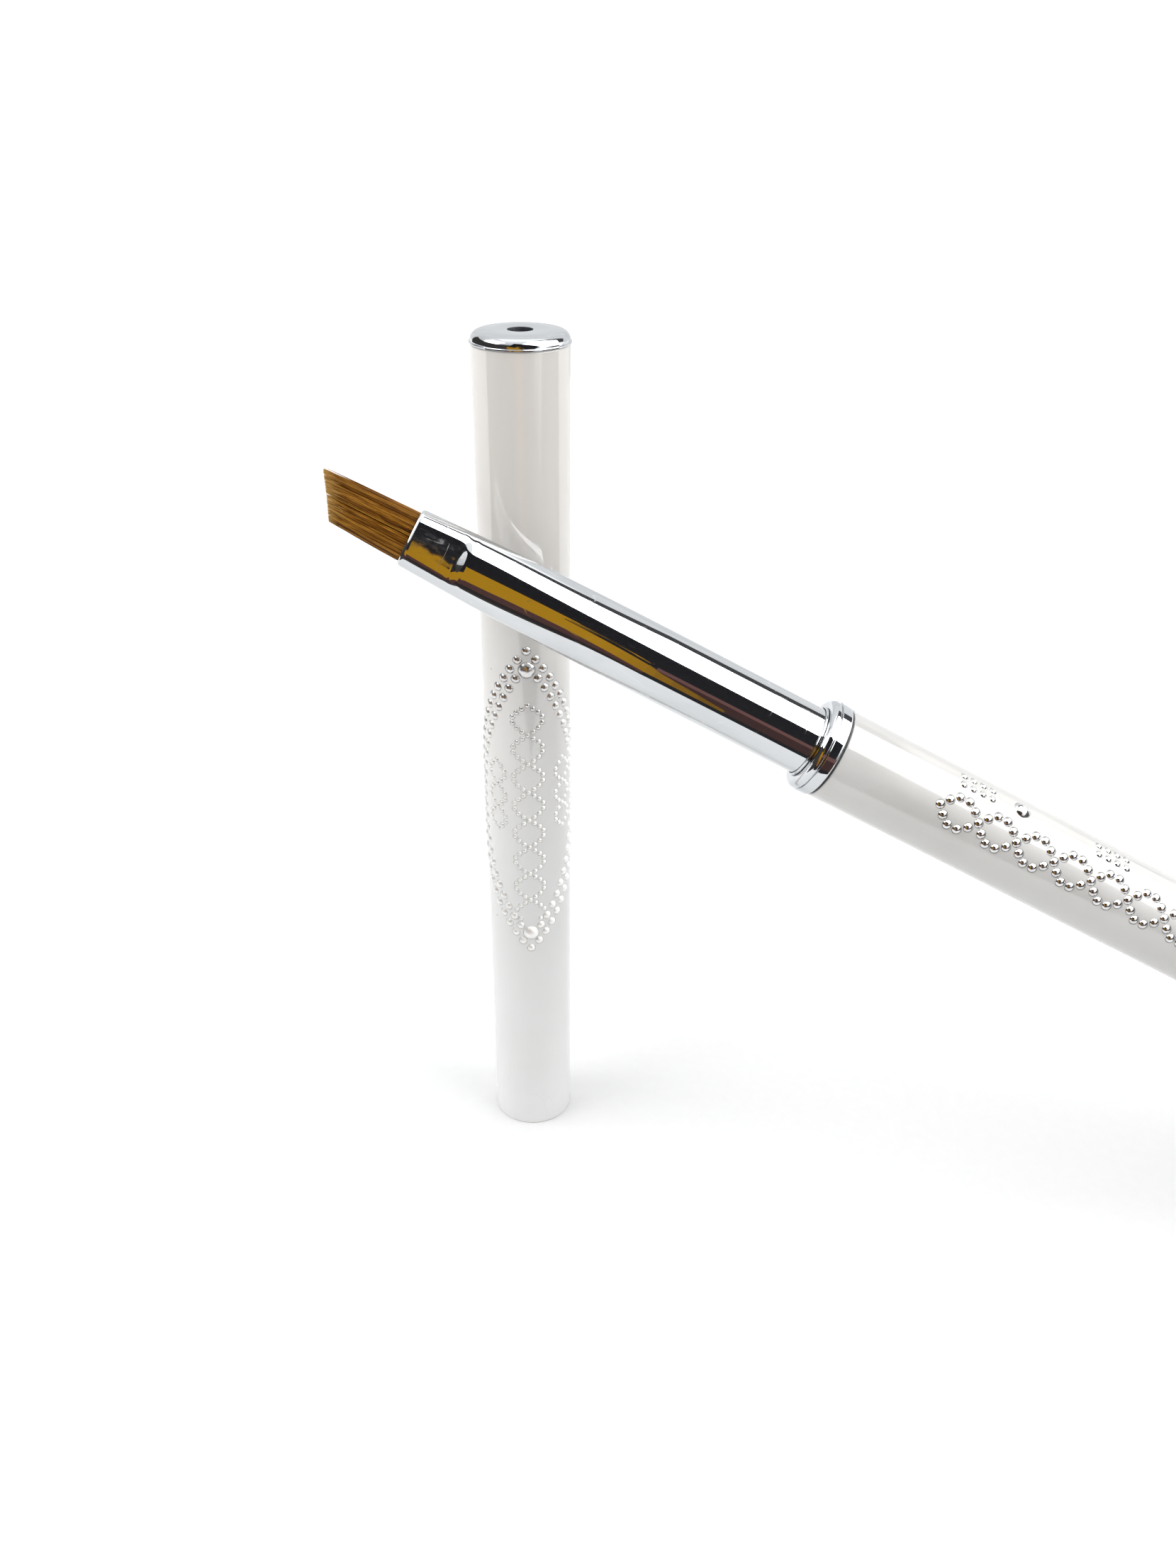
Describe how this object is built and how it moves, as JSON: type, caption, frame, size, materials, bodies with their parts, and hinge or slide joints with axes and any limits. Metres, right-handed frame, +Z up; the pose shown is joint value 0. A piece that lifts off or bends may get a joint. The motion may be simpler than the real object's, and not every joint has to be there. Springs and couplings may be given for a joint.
{
  "type": "acrylic nail brush",
  "caption": "Slim nail brush with a crimped metal ferrule and flat hair tuft, leaning past its standing pull-off cap.",
  "frame": {"origin": "bottom centre of the object's box, on the table that the cap's mouth and the handle's end stand on", "axes": "+X from the cap to the handle's end, the object's longest way; +Y away from the front, its shortest way; +Z up, along the standing cap"},
  "size_m": [0.135, 0.016, 0.0807],
  "materials": {
    "white_lacquer": "gloss",
    "chrome_trim": "polished",
    "plated_brass": "polished",
    "liner_brass": "satin",
    "natural_hair": "satin",
    "waxed_thread": "matte",
    "epoxy_glue": "gloss",
    "beech": "matte",
    "black_rubber": "matte",
    "natural_plastic": "satin"
  },
  "bodies": {
    "cap": {"cap_tube": "white_lacquer", "cap_liner": "liner_brass", "cap_end_bush": "natural_plastic", "cap_end_plug": "chrome_trim"},
    "brush": {"hair_tuft": "natural_hair", "tuft_thread": "waxed_thread", "tuft_glue": "epoxy_glue", "ferrule": "plated_brass", "ferrule_dowel": "beech", "stop_ring": "chrome_trim", "collar": "chrome_trim", "collar_gasket": "black_rubber", "handle_tube": "white_lacquer", "handle_liner": "natural_plastic", "handle_end_bush": "natural_plastic", "handle_end_plug": "chrome_trim"}
  },
  "joints": [
    {"name": "brush_lift", "type": "slide", "parent": "cap", "child": "brush", "axis": [0, 0, 1], "range_m": [0, 0.09]}
  ]
}
